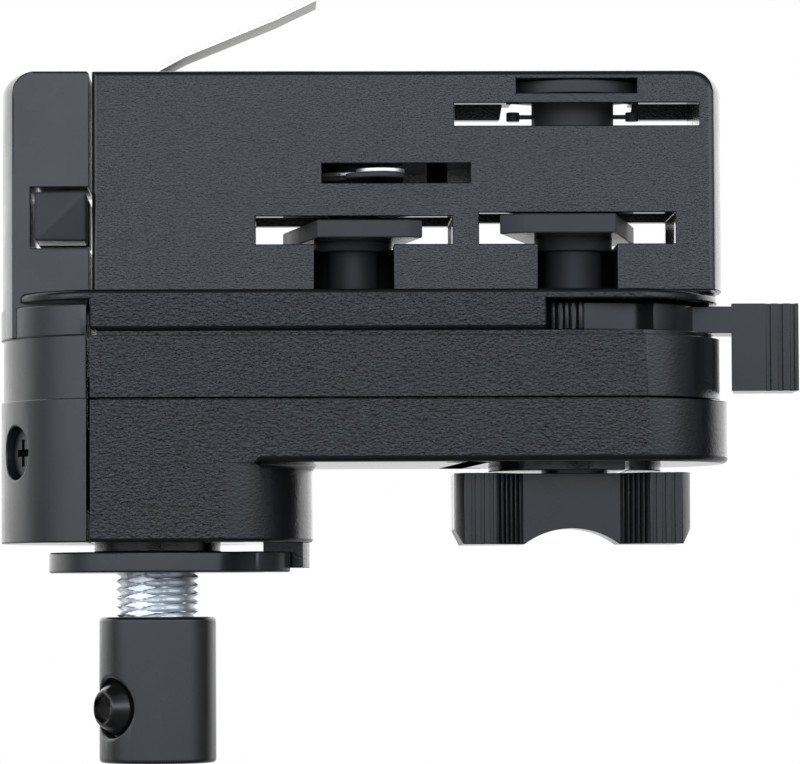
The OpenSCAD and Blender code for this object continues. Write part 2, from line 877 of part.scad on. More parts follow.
module lock_wing_b() {
  color(black)
    translate([axis_b_x, 0, 0])
      difference() {
        union() {
          post(0, 0, shaft_foot_z, z_collar, journal_b_r);
          slab(z_collar, shaft_shoulder_z)
            square(square_b, center = true);
          post(0, 0, shaft_shoulder_z, wing_b_z + wing_b_t, shaft_b_d / 2);
          post(0, 0, wing_ring_z, wing_b_z, wing_ring_r);
          slab(wing_b_z, wing_b_z + wing_b_t)
            wing_plan(wing_b_long);
        }
        post(0, 0, shaft_foot_z - over, wing_b_z + wing_b_t + over, shaft_bore_r);
      }
}

module lock_wing_a() {
  color(black)
    translate([axis_a_x, 0, 0]) {
      post(0, 0, shaft_foot_z, z_collar, journal_a_r);
      slab(z_collar, shaft_shoulder_z)
        square(square_a, center = true);
      post(0, 0, shaft_shoulder_z, neutral_z + neutral_t + shaft_cap, shaft_a_d / 2);
      post(0, 0, neutral_z, shaft_a_top, journal_a_r);
      post(0, 0, wing_ring_z, wing_a_z, wing_ring_r);
      slab(wing_a_z, wing_a_z + wing_t)
        mirror([0, 1])
          wing_plan(wing_long);
      slab(neutral_z, neutral_z + carrier_t) {
        neutral_plan();
        translate(carrier_shift)
          neutral_plan();
      }
    }
}

module neutral_plan() {
  circle(shaft_a_d / 2 + neutral_ring);
  translate([neutral_side[0], neutral_nose[1]])
    square([2 * neutral_nose_r, -neutral_nose[1]]);
  translate(neutral_nose)
    circle(neutral_nose_r);
}

// Nickel strip that turns out of the front slot on the first wing's carrier
module neutral_contact() {
  color(nickel)
    translate([axis_a_x, 0, 0])
      slab(neutral_z + carrier_t, neutral_z + neutral_t)
        difference() {
          neutral_plan();
          circle(shaft_a_d / 2 + fit_gap);
        }
}

// Plan of the knob: two round ends, a web between them, and grooves on the ends and their flanks
module knob_plan() {
  half_l = knob_l / 2;
  half = knob_w / 2;
  flank = [knob_web_half - knob_flank_half, knob_web_w / 2 - half];
  lean = flank[0] / flank[1];
  difference() {
    intersection() {
      square([knob_l, knob_w], center = true);
      circle(knob_round_r);
    }
    for (side = [-1, 1]) {
      mouth = knob_flank_half + lean * over;
      polygon([
        [-mouth, side * (half + over)], [-knob_web_half, side * knob_web_w / 2],
        [knob_web_half, side * knob_web_w / 2], [mouth, side * (half + over)]
      ]);
      for (end = [-1, 1]) {
        for (i = [0 : knob_groove_count - 1])
          translate([end * (half_l - knob_groove_from - i * knob_groove_step), side * half])
            square(knob_groove_w * [1, 2], center = true);
        for (i = [1 : knob_flank_grooves]) {
          along = i / (knob_flank_grooves + 1);
          translate([end * (knob_flank_half + along * flank[0]), side * (half + along * flank[1])])
            rotate(end * side * atan(1 / lean))
              square(knob_groove_w * [1, 2], center = true);
        }
      }
    }
  }
}

module phase_knob() {
  half_l = knob_l / 2;
  color(black)
    translate([axis_b_x, 0, 0])
      difference() {
        union() {
          translate([knob_shift, 0, 0])
            intersection() {
              slab(knob_z, knob_z + knob_h)
                knob_plan();
              rotate([90, 0, 0])
                linear_extrude(knob_w + over, center = true)
                  difference() {
                    polygon([
                      [-half_l, knob_z + knob_chamfer[1]], [-half_l + knob_chamfer[0], knob_z],
                      [half_l - knob_chamfer[0], knob_z], [half_l, knob_z + knob_chamfer[1]],
                      [half_l, knob_z + knob_h], [-half_l, knob_z + knob_h]
                    ]);
                    translate([0, knob_z + knob_arch_h - knob_arch_r])
                      circle(knob_arch_r);
                  }
            }
          post(0, 0, knob_z + knob_h - over, knob_hub_top, knob_hub_r);
        }
        post(0, 0, selector_foot - end_play, knob_hub_top + over, selector_d / 2 + fit_gap);
      }
}

module selector_shaft() {
  color(zinc)
    post(axis_b_x, 0, selector_foot, disc_z + disc_t, selector_d / 2);
}

module phase_rotor() {
  color(black)
    translate([axis_b_x, 0, 0])
      difference() {
        union() {
          post(0, 0, barrel_z, disc_z, barrel_d / 2);
          post(0, 0, disc_z, disc_z + disc_t, disc_r);
          for (side = [-1, 1])
            post(side * rotor_arm, 0, rotor_arm_z - rotor_knob_h / 2, rotor_arm_z + rotor_knob_h / 2, rotor_knob_r);
          block([-rotor_arm, -rotor_arm_w / 2, rotor_arm_z - rotor_arm_h / 2],
                [rotor_arm, rotor_arm_w / 2, rotor_arm_z + rotor_arm_h / 2]);
        }
        post(0, 0, barrel_z - over, disc_z + disc_t + over, selector_d / 2 + fit_gap);
        block([-phase_w / 2 - fit_gap, selector_d / 2, phase_z - fit_gap],
              [phase_w / 2 + fit_gap, barrel_d, phase_z + phase_t + fit_gap]);
      }
}

// Blade that the selector turns to the rear or the front conductor
module phase_contact() {
  nose_r = phase_w / 2;
  color(nickel)
    translate([axis_b_x, 0, 0])
      slab(phase_z, phase_z + phase_t)
        difference() {
          union() {
            translate([-nose_r, 0])
              square([phase_w, phase_reach - nose_r]);
            translate([0, phase_reach - nose_r])
              circle(nose_r);
          }
          circle(selector_d / 2 + fit_gap);
          translate([-phase_w, -phase_w])
            square([2 * phase_w, phase_w + selector_d / 2 + end_play]);
        }
}

module earth_spring() {
  last = len(earth_path) - 1;
  lift = [for (i = [0 : last])
    let (run = earth_path[min(i + 1, last)] - earth_path[max(i - 1, 0)])
    [-run[1], run[0]] / norm(run) * earth_t / 2];
  upper = [for (i = [0 : last]) earth_path[i] + lift[i]];
  lower = [for (i = [last : -1 : 0]) earth_path[i] - lift[i]];
  color(nickel)
    translate([earth_x, 0, earth_z])
      rotate([90, 0, 0])
        linear_extrude(earth_w, center = true)
          polygon(concat(upper, lower));
}

// A catch with its face bent along the diagonal, in front
module catch_body() {
  face_y = -contact_half_w - catch_out;
  diagonal = atan2(catch_h, catch_w);
  far = 2 * contact_w;
  difference() {
    block([catch_x, face_y, catch_foot], [catch_x + catch_w, -catch_inner, catch_foot + catch_h]);
    translate([catch_x + catch_w / 2, face_y, catch_foot + catch_h / 2])
      rotate([0, -diagonal, 0]) {
        rotate([-catch_facet, 0, 0])
          translate([-far / 2, -far, 0])
            cube(far);
        rotate([catch_facet, 0, 0])
          translate([-far / 2, -far, -far])
            cube(far);
      }
    translate([catch_x + catch_w / 2, -spring_half, catch_foot + catch_h / 2])
      rotate([-90, 0, 0])
        cylinder(r = spring_bore_r, h = spring_half);
  }
}

module catch_front() {
  color(black)
    catch_body();
}

module catch_rear() {
  color(black)
    mirror([0, 1, 0])
      catch_body();
}

// Coil along Y between the two catches
module catch_spring() {
  rings = spring_turns * coil_steps;
  length = 2 * (spring_half - spring_wire_r - end_play);
  points = [for (i = [0 : rings], j = [0 : coil_sides - 1])
    let (
      turn = 360 * i / coil_steps,
      side = 360 * j / coil_sides,
      r = spring_r + spring_wire_r * cos(side)
    )
    [r * cos(turn), length * (i / rings - 0.5) + spring_wire_r * sin(side), r * sin(turn)]];
  sides = [for (i = [0 : rings - 1], j = [0 : coil_sides - 1])
    let (a = i * coil_sides + j, b = i * coil_sides + (j + 1) % coil_sides)
    [a, b, b + coil_sides, a + coil_sides]];
  first = [for (j = [coil_sides - 1 : -1 : 0]) j];
  last = [for (j = [0 : coil_sides - 1]) rings * coil_sides + j];
  color(zinc)
    translate([catch_x + catch_w / 2, 0, catch_foot + catch_h / 2])
      polyhedron(points, concat(sides, [first, last]), convexity = 8);
}

module stem() {
  color(zinc)
    difference() {
      post(0, 0, stem_foot, stem_top, stem_d / 2);
      post(0, 0, stem_foot - over, stem_top + over, cable_d / 2);
      rotate([0, 0, -flat_turn])
        block([-stem_d, -stem_d, grip_top], [stem_d, flat_depth - stem_d / 2, washer_z]);
    }
}

module stem_nut() {
  color(zinc)
    difference() {
      translate([0, 0, nut_z])
        cylinder(r = nut_corner_r, h = nut_h, $fn = 6);
      post(0, 0, nut_z - over, nut_z + nut_h + over, stem_d / 2 + fit_gap);
    }
}

module stop_washer() {
  color(black)
    slab(washer_z, washer_z + washer_t)
      difference() {
        union() {
          circle(washer_r);
          pie(stop_r, stop_turn[0], stop_turn[1]);
        }
        circle(stem_d / 2 + fit_gap);
      }
}

module grip_screw_place() {
  translate([0, 0, grip_screw_z])
    rotate([0, 0, -90 - grip_screw_turn])
      rotate([0, 90, 0])
        children();
}

module cord_grip() {
  color(black)
    difference() {
      post(0, 0, grip_z, grip_top, grip_d / 2);
      post(0, 0, stem_foot - end_play, grip_top + over, stem_d / 2 + fit_gap);
      post(0, 0, grip_z - over, stem_foot + over, grip_bore_r);
      grip_screw_place()
        cylinder(r = grip_screw_d / 2 + run_gap, h = grip_d);
      grip_screw_place()
        translate([0, 0, grip_seat_from])
          cylinder(r = grip_screw_d / 2 + grip_seat_step, h = grip_d);
    }
}

module grip_screw() {
  color(black)
    grip_screw_place()
      translate([0, 0, grip_screw_from])
        difference() {
          union() {
            cylinder(r = grip_screw_d / 2, h = grip_screw_l);
            translate([0, 0, grip_screw_l])
              cylinder(r1 = grip_screw_d / 2, r2 = grip_screw_end_r, h = grip_screw_cone_h);
          }
          translate([0, 0, grip_screw_l + grip_screw_cone_h - hex_depth])
            cylinder(r = hex_flats / 2 / cos(30), h = hex_depth + over, $fn = 6);
        }
}

// Seat of terminal i, counted from the middle one
module terminal_place(i) {
  translate([block_x + block_l / 2, i * terminal_step, z_floor + base_floor])
    children();
}

module terminal_block() {
  color(ivory)
    difference() {
      block([block_x, -block_w / 2, z_floor + base_floor],
            [block_x + block_l, block_w / 2, z_floor + base_floor + block_h]);
      for (i = [-1 : 1])
        terminal_place(i) {
          translate([-block_l, 0, block_h / 2 - wire_drop])
            rotate([0, 90, 0])
              cylinder(r = wire_r, h = 2 * block_l);
          post(0, 0, block_h / 2, block_h + over, terminal_screw_r + fit_gap);
        }
    }
}

module terminal_screws() {
  color(brass)
    for (i = [-1 : 1])
      terminal_place(i)
        difference() {
          post(0, 0, block_h / 2 + terminal_screw_gap, block_h - terminal_screw_gap, terminal_screw_r);
          block([-terminal_screw_r, -terminal_slot[0] / 2, block_h - terminal_screw_gap - terminal_slot[1]],
                [terminal_screw_r, terminal_slot[0] / 2, block_h]);
        }
}

contact_housing_front();
contact_housing_rear();
end_cap();
cap_screws();
collar();
waist_housing();
base_housing();
housing_screws();
clamp_screws();
locking_lever();
lock_wing_b();
lock_wing_a();
gear_sector();
neutral_contact();
phase_knob();
selector_shaft();
phase_rotor();
phase_contact();
earth_spring();
catch_front();
catch_rear();
catch_spring();
stem();
stem_nut();
stop_washer();
cord_grip();
grip_screw();
terminal_block();
terminal_screws();
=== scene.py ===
"""Finishes and studio for the track light adapter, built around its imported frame."""
import json
from math import pi, radians

import bmesh
import bpy
from bpy.props import FloatProperty, FloatVectorProperty, IntProperty, PointerProperty
from mathutils import Matrix, Vector

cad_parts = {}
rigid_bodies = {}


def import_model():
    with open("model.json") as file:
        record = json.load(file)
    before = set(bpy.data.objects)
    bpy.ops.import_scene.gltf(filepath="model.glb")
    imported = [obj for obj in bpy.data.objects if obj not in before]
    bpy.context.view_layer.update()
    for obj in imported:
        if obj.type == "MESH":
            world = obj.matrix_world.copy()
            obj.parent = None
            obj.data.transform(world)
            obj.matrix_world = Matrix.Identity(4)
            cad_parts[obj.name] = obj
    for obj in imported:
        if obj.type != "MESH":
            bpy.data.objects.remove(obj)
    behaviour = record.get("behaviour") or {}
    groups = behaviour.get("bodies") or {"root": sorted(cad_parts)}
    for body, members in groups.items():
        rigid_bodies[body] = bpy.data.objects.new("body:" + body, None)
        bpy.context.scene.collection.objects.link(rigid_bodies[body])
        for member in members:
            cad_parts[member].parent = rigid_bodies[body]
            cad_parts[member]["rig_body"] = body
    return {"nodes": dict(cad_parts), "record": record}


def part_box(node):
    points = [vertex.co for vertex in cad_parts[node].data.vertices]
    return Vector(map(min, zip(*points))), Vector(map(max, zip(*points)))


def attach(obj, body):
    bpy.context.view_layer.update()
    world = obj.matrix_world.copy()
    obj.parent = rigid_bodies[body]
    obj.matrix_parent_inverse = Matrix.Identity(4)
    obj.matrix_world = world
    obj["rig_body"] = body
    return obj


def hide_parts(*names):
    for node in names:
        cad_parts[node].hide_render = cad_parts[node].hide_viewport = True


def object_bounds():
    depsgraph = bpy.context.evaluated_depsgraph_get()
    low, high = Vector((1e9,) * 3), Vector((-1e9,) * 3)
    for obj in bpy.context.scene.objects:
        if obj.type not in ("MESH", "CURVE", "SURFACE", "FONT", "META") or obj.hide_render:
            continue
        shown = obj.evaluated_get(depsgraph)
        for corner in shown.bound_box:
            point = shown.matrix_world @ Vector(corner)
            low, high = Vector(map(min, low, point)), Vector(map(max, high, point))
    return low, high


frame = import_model()
CAD_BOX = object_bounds()

bl_info = {
    "name": "Track Light Adapter",
    "version": (1, 0, 0),
    "blender": (4, 5, 0),
    "location": "View3D > Sidebar > Adapter",
    "description": "Dresses the packed track light adapter and sets its studio",
    "category": "Object",
}

MM = 0.001

# Distances in which two points are one, and in which an edge lies at a level
SAME_POINT = 1e-6
LEVEL_SLACK = 0.02 * MM
# Bends between two faces: none, on the rim of a hole, worth rounding, and a crease on mouldings or on wire
# and thread
FLAT_BEND = radians(0.4)
HOLE_BEND = radians(1)
SHARP = radians(28)
CREASE = radians(26)
THREAD_CREASE = radians(30)
# Share of a normal or an edge along an axis from which it counts as lying along it
PLANE = 0.999
UPRIGHT = 0.99
# Steps across a rounded edge and its form, a full round or the flatter one of an outline
ROUND_STEPS = 4
ROUND_PROFILE = 0.5
OUTLINE_PROFILE = 0.32

# Grain and roughness by the surface's normal: where the underside ends, where a bend loses its grain, the
# grain left on it, and the share of the roughness underneath
UNDERSIDE = (-0.95, -0.7)
BEND = (0.985, 0.999)
BEND_GRAIN = 0.25
UNDERSIDE_ROUGHNESS = 0.4

# Mount that gives the stem's bore
BORE_MOUNT = "cable_bore"
# Part of a thread's ridge that slopes, the least turn towards the flat that is cut, and the coil's facets
CREST = (0.08, 0.9)
LEAST_FACING = 0.3
COIL_STEPS = 24
WIRE_SIDES = 12

# Studio that reflections see, in places from 0 to 1 and levels: a tinted wall in front from below to above,
# how much of it is left from the front round to the rear, the sides, and the white behind from below to above
FRONT_LEVELS = (
    (0.0, 0.05), (0.38, 0.25), (0.44, 0.6), (0.47, 0.9), (0.5, 1.28), (0.53, 2.05), (0.56, 3.1), (0.6, 3.4),
    (0.66, 2.1), (0.74, 0.6), (1.0, 0.08))
WALL_TINT = (0.91, 0.99, 1.1)
FRONT_REACH = ((0.325, 1.0), (0.5, 0.26), (0.69, 0.0))
SIDE_LEVEL = 0.02
BACK_LEVELS = ((0.0, 0.3), (0.488, 0.72), (0.506, 1.85), (1.0, 2.0))
# Lean of the white behind along X, here to the left, and where it begins and is full
BACK_LEAN = -0.18
BACK_EDGE = (0.28, 0.58)
WHITE = (1, 1, 1, 1)

# Lamps by name: place and size in metres, and power in watts
LAMPS = {
    "key_light": ((-0.3, -0.95, 0.85), (1.2, 0.9), 3.0),
    "front_light": ((0.02, -1.1, 0.08), (0.7, 0.5), 2.0),
    "left_light": ((-0.95, -0.7, 0.2), (0.6, 1.0), 1.5),
}
SENSOR_MM = 36.0
NEAR_CLIP = 0.01
FLOOR_RADIUS = 0.9
FLOOR_SIDES = 96
FLOOR_MIDDLE_X = 0.03
FLOOR_TONES = ((0, 0.86), (1, 0.9))
FLOOR_ROUGHNESS = 0.7

# Edges with a rounding of their own: those at a level in mm on an axis, or those on a piece's outline
X, Z = 0, 2
CAP_TOP = (Z, 56.1)
CAP_END = (X, -16.9)
COLLAR_TOP = (Z, 29.6)
COLLAR_FOOT = (Z, 24.8)
BASE_FOOT = (Z, 9.3)
BOSS_FOOT = (Z, 0.0)
OUTLINE = (None, 0)

# For each piece that copies a CAD node: its finish, and the rounding in mm of its edges and of those above
HOUSING_PIECES = {
    "contact_housing_front": ("fine_grain", 0.14, {OUTLINE: 0.5}),
    "contact_housing_rear": ("fine_grain", 0.14, {OUTLINE: 0.5}),
    "end_cap": ("satin", 0.2, {CAP_TOP: 0.35, CAP_END: 0.3}),
    "collar": ("coarse_grain", 0.2, {COLLAR_TOP: 0.6, COLLAR_FOOT: 0.5}),
    "waist_housing": ("coarse_grain", 0.1, {}),
    "base_housing": ("coarse_grain", 0.12, {BASE_FOOT: 0.8, BOSS_FOOT: 0.5}),
}
# Levels in mm rounded only from a place along X in mm, with their inner corners filled up to a second place
ROUNDED_FROM = {("base_housing", BASE_FOOT[1]): (12.4, 21.0)}
LOCK_PIECES = {
    "locking_lever": ("dark_satin", 0.1, {}),
    "lock_wing_a": ("matt", 0.2, {}),
    "lock_wing_b": ("matt", 0.2, {}),
    "gear_sector": ("dark_satin", 0.08, {}),
}
SELECTOR_PIECES = {
    "phase_knob": ("dark_satin", 0.08, {}),
    "phase_rotor": ("matt", 0.12, {}),
    "phase_contact": ("nickel", 0.1, {}),
}
CONTACT_PIECES = {
    "earth_spring": ("nickel", 0.06, {}),
    "neutral_contact": ("nickel", 0.1, {}),
}
CATCH_PIECES = {
    "catch_front": ("matt", 0.4, {}),
    "catch_rear": ("matt", 0.4, {}),
}
STEM_PIECES = {
    "stop_washer": ("satin", 0.25, {}),
    "cord_grip": ("satin", 0.5, {}),
    "grip_screw": ("gloss", 0.2, {}),
}
BARE_NODES = {
    # The cap screws are near black: a black-oxide finish, darkened further as painted shade inside their deep
    # holes
    "cap_screws": "black_steel",
    "housing_screws": "zinc",
    "clamp_screws": "zinc",
    "selector_shaft": "zinc",
    "stem_nut": "zinc",
    "terminal_block": "ivory",
    "terminal_screws": "brass",
}


class AdapterFinish(bpy.types.PropertyGroup):
    """Colours and textures of the plastics and metals"""

    housing_colour: FloatVectorProperty(
        name="Housing", description="Colour of the grained housings", subtype="COLOR", size=3,
        min=0, max=1, default=(0.0052, 0.0054, 0.0061))
    upper_colour: FloatVectorProperty(
        name="Contact housing", description="Colour of the finely grained contact housing", subtype="COLOR",
        size=3, min=0, max=1, default=(0.0075, 0.0081, 0.0091))
    satin_colour: FloatVectorProperty(
        name="Smooth parts", description="Colour of the smooth mouldings", subtype="COLOR", size=3,
        min=0, max=1, default=(0.0095, 0.0103, 0.0112))
    dark_colour: FloatVectorProperty(
        name="Moving parts", description="Colour of the knob and the lever", subtype="COLOR",
        size=3, min=0, max=1, default=(0.006, 0.0063, 0.007))
    matt_colour: FloatVectorProperty(
        name="Matt parts", description="Colour of the wings, the rotor and the catches", subtype="COLOR",
        size=3, min=0, max=1, default=(0.027, 0.0284, 0.0315))
    gloss_colour: FloatVectorProperty(
        name="Gloss parts", description="Colour of the grip screw", subtype="COLOR", size=3,
        min=0, max=1, default=(0.005, 0.005, 0.0055))
    coarse_cell: FloatProperty(
        name="Coarse grain", description="Size of the housings' grain", unit="LENGTH", precision=5,
        min=0, default=0.26 * MM)
    coarse_depth: FloatProperty(
        name="Coarse depth", description="Depth of the housings' grain", unit="LENGTH", precision=6,
        min=0, default=0.075 * MM)
    fine_cell: FloatProperty(
        name="Fine grain", description="Size of the contact housing's grain", unit="LENGTH", precision=5,
        min=0, default=0.17 * MM)
    fine_depth: FloatProperty(
        name="Fine depth", description="Depth of the contact housing's grain", unit="LENGTH", precision=6,
        min=0, default=0.045 * MM)
    grain_stretch: FloatProperty(
        name="Grain stretch", description="How much longer than high the grain is", min=1, default=1.7)


class AdapterThread(bpy.types.PropertyGroup):
    """Sizes of the stem's thread and of the catch spring"""

    pitch: FloatProperty(
        name="Pitch", description="Pitch of the stem's thread", unit="LENGTH", precision=5, min=0,
        default=1.0 * MM)
    depth: FloatProperty(
        name="Depth", description="Depth of the stem's thread", unit="LENGTH", precision=5, min=0,
        default=0.58 * MM)
    flat_depth: FloatProperty(
        name="Flat depth", description="Depth of the flat milled into the thread", unit="LENGTH",
        precision=5, min=0, default=0.45 * MM)
    flat_turn: FloatProperty(
        name="Flat turn", description="Turn of the flat from the front", subtype="ANGLE",
        default=radians(26))
    sides: IntProperty(name="Sides", description="Points around the stem", min=24, default=120)
    steps: IntProperty(name="Steps", description="Rings in one pitch of the thread", min=4, default=10)
    coil_turns: FloatProperty(name="Coil turns", description="Turns of the catch spring", min=1, default=6)
    coil_wire: FloatProperty(
        name="Coil wire", description="Wire radius of the catch spring", unit="LENGTH", precision=5, min=0,
        default=0.24 * MM)


class AdapterStage(bpy.types.PropertyGroup):
    """Studio of the photograph"""

    eye: FloatVectorProperty(
        name="Eye", description="Place of the camera", subtype="XYZ", unit="LENGTH", size=3,
        default=(0.01476, -0.575, -0.0069))
    aim: FloatVectorProperty(
        name="Aim", description="Point in the middle of the picture", subtype="XYZ", unit="LENGTH", size=3,
        default=(0.02922, 0, 0.01937))
    roll: FloatProperty(
        name="Roll", description="Roll of the camera", subtype="ANGLE", default=radians(-0.25))
    focal: FloatProperty(name="Focal length", description="Focal length in mm", min=10, default=215)
    floor_drop: FloatProperty(
        name="Floor drop", description="Height of the hung part above the floor", unit="LENGTH", min=0,
        default=0.1)


def put(tree, socket, value):
    """Sets an input, or links it where a socket is given."""
    if isinstance(value, bpy.types.NodeSocket):
        tree.links.new(value, socket)
    else:
        socket.default_value = value


def node_of(tree, kind, **inputs):
    """A new node with its inputs given by name, or as i0, i1 and so on by number."""
    node = tree.nodes.new(kind)
    for key, value in inputs.items():
        numbered = key[0] == "i" and key[1:].isdigit()
        put(tree, node.inputs[int(key[1:]) if numbered else key], value)
    return node


def maths(tree, operation, *values, clamp=False):
    node = node_of(tree, "ShaderNodeMath", **{f"i{i}": v for i, v in enumerate(values)})
    node.operation = operation
    node.use_clamp = clamp
    return node.outputs[0]


def mapped(tree, value, span, low=0.0, high=1.0):
    """The value's place in a span, carried over to low and high."""
    return node_of(
        tree, "ShaderNodeMapRange", Value=value,
        **{"From Min": span[0], "From Max": span[1], "To Min": low, "To Max": high}).outputs[0]


def noise(tree, vector, scale, detail, **more):
    return node_of(
        tree, "ShaderNodeTexNoise", Vector=vector, Scale=scale, Detail=detail, **more).outputs[0]


def split(tree, vector):
    """The three parts of a vector."""
    return node_of(tree, "ShaderNodeSeparateXYZ", i0=vector).outputs


def new_group(name, kind, inputs, outputs):
    """A node group with named sockets, and its input and output nodes."""
    tree = bpy.data.node_groups.new(name, kind)
    for label, socket, value in inputs:
        made = tree.interface.new_socket(label, in_out="INPUT", socket_type=socket)
        if value is not None:
            made.default_value = value
    for label, socket in outputs:
        tree.interface.new_socket(label, in_out="OUTPUT", socket_type=socket)
    return tree, tree.nodes.new("NodeGroupInput").outputs, tree.nodes.new("NodeGroupOutput").inputs


def mix_of(tree, factor, first, second):
    """A colour between two others, each a colour or a socket."""
    mix = tree.nodes.new("ShaderNodeMix")
    mix.data_type = "RGBA"
    for value, socket in zip((factor, first, second), (mix.inputs[0], mix.inputs[6], mix.inputs[7])):
        put(tree, socket, value)
    return mix.outputs[2]


def ramp_of(tree, factor, stops, tint=(1, 1, 1)):
    """A ramp through the given places and levels, grey or of one tint."""
    ramp = node_of(tree, "ShaderNodeValToRGB", Fac=factor)
    elements = ramp.color_ramp.elements
    while len(elements) < len(stops):
        elements.new(0.5)
    for element, (place, level) in zip(elements, stops):
        element.position = place
        element.color = (*[level * share for share in tint], 1)
    return ramp.outputs[0]


def make_grain_group():
    """Moulded grain, longer than high: its height, and a slow change of tone."""
    tree, given, out = new_group(
        "Mould Grain", "ShaderNodeTree",
        [("Vector", "NodeSocketVector", None), ("Cell", "NodeSocketFloat", 0.0005),
         ("Stretch", "NodeSocketFloat", 1.5)],
        [("Height", "NodeSocketFloat"), ("Tone", "NodeSocketFloat")])
    across = maths(tree, "MULTIPLY", given["Cell"], given["Stretch"])
    part = split(tree, given["Vector"])
    cell = node_of(
        tree, "ShaderNodeCombineXYZ", X=maths(tree, "DIVIDE", part[0], across),
        Y=maths(tree, "DIVIDE", part[1], across), Z=maths(tree, "DIVIDE", part[2], given["Cell"])).outputs[0]
    crinkle = noise(tree, cell, 1.0, 2.0, Roughness=0.55, Distortion=0.5)
    pits = node_of(tree, "ShaderNodeTexVoronoi", Vector=cell, Scale=0.8)
    pits.feature = "SMOOTH_F1"
    pits.inputs["Smoothness"].default_value = 0.7
    tree.links.new(maths(tree, "MULTIPLY_ADD", pits.outputs["Distance"], 0.45, crinkle), out["Height"])
    tree.links.new(noise(tree, cell, 0.06, 2.0), out["Tone"])
    return tree


def make_haze_group():
    """Uneven sheen of a moulded or handled surface."""
    tree, given, out = new_group(
        "Sheen Haze", "ShaderNodeTree",
        [("Vector", "NodeSocketVector", None), ("Spot", "NodeSocketFloat", 0.004),
         ("Low", "NodeSocketFloat", 0.4), ("High", "NodeSocketFloat", 0.5)],
        [("Roughness", "NodeSocketFloat")])
    scale = maths(tree, "DIVIDE", 1.0, given["Spot"])
    spots = noise(tree, given["Vector"], scale, 3.0, Roughness=0.6)
    tree.links.new(mapped(tree, spots, (0.3, 0.7), given["Low"], given["High"]), out["Roughness"])
    return tree


def make_plate_group():
    """Plated metal: a tint that wanders between two colours, and fine rolling marks."""
    tree, given, out = new_group(
        "Plate Sheen", "ShaderNodeTree",
        [("Vector", "NodeSocketVector", None), ("Spot", "NodeSocketFloat", 0.002),
         ("Pale", "NodeSocketColor", (0.9, 0.9, 0.9, 1)), ("Deep", "NodeSocketColor", (0.6, 0.6, 0.6, 1))],
        [("Color", "NodeSocketColor"), ("Height", "NodeSocketFloat")])
    scale = maths(tree, "DIVIDE", 1.0, given["Spot"])
    cloud = noise(tree, given["Vector"], scale, 4.0, Roughness=0.6)
    tree.links.new(mix_of(tree, cloud, given["Deep"], given["Pale"]), out["Color"])
    tree.links.new(noise(tree, given["Vector"], maths(tree, "MULTIPLY", scale, 9.0), 2.0), out["Height"])
    return tree


def grouped(tree, group, **inputs):
    node = tree.nodes.new("ShaderNodeGroup")
    node.node_tree = group
    for key, value in inputs.items():
        put(tree, node.inputs[key], value)
    return node.outputs


def new_material(name):
    """A material with its Principled shader and its object coordinates."""
    material = bpy.data.materials.new(name)
    material.use_nodes = True
    tree = material.node_tree
    shader = next(n for n in tree.nodes if n.type == "BSDF_PRINCIPLED")
    place = tree.nodes.new("ShaderNodeTexCoord").outputs["Object"]
    return material, tree, shader, place


def make_plastic(name, groups, colour, grain, haze, lift, shine=0.5):
    """Moulded plastic, smoother on bends and underneath.

    grain is its cell, stretch and depth, and haze is its spots and its lowest and highest roughness.
    """
    material, tree, shader, place = new_material(name)
    cell, stretch, depth = grain
    texture = grouped(tree, groups["grain"], Vector=place, Cell=cell, Stretch=stretch)
    sheen = grouped(tree, groups["haze"], Vector=place, Spot=haze[0], Low=haze[1], High=haze[2])
    deep, pale = ((*[c * share for c in colour], 1) for share in (1 - lift, 1 + lift))
    tree.links.new(mix_of(tree, texture["Tone"], deep, pale), shader.inputs["Base Color"])
    shader.inputs["Specular IOR Level"].default_value = shine
    surface = tree.nodes.new("ShaderNodeNewGeometry").outputs
    upper = mapped(tree, split(tree, surface["True Normal"])[2], UNDERSIDE)
    turn = maths(tree, "ABSOLUTE", split(tree, surface["Normal"])[1])
    flat = mapped(tree, turn, BEND, BEND_GRAIN)
    polish = maths(tree, "MULTIPLY_ADD", upper, 1 - UNDERSIDE_ROUGHNESS, UNDERSIDE_ROUGHNESS)
    tree.links.new(maths(tree, "MULTIPLY", sheen["Roughness"], polish), shader.inputs["Roughness"])
    bump = node_of(
        tree, "ShaderNodeBump", Height=texture["Height"], Distance=depth,
        Strength=maths(tree, "MULTIPLY", upper, flat))
    tree.links.new(bump.outputs[0], shader.inputs["Normal"])
    return material


def make_metal(name, groups, pale, deep, spot, haze, marks):
    """Plated metal between two colours: spot is the size of its clouds and marks the depth of its marks."""
    material, tree, shader, place = new_material(name)
    plate = grouped(tree, groups["plate"], Vector=place, Spot=spot, Pale=(*pale, 1), Deep=(*deep, 1))
    sheen = grouped(tree, groups["haze"], Vector=place, Spot=haze[0], Low=haze[1], High=haze[2])
    shader.inputs["Metallic"].default_value = 1.0
    tree.links.new(plate["Color"], shader.inputs["Base Color"])
    tree.links.new(sheen["Roughness"], shader.inputs["Roughness"])
    bump = node_of(tree, "ShaderNodeBump", Height=plate["Height"], Distance=marks, Strength=1.0)
    tree.links.new(bump.outputs[0], shader.inputs["Normal"])
    return material


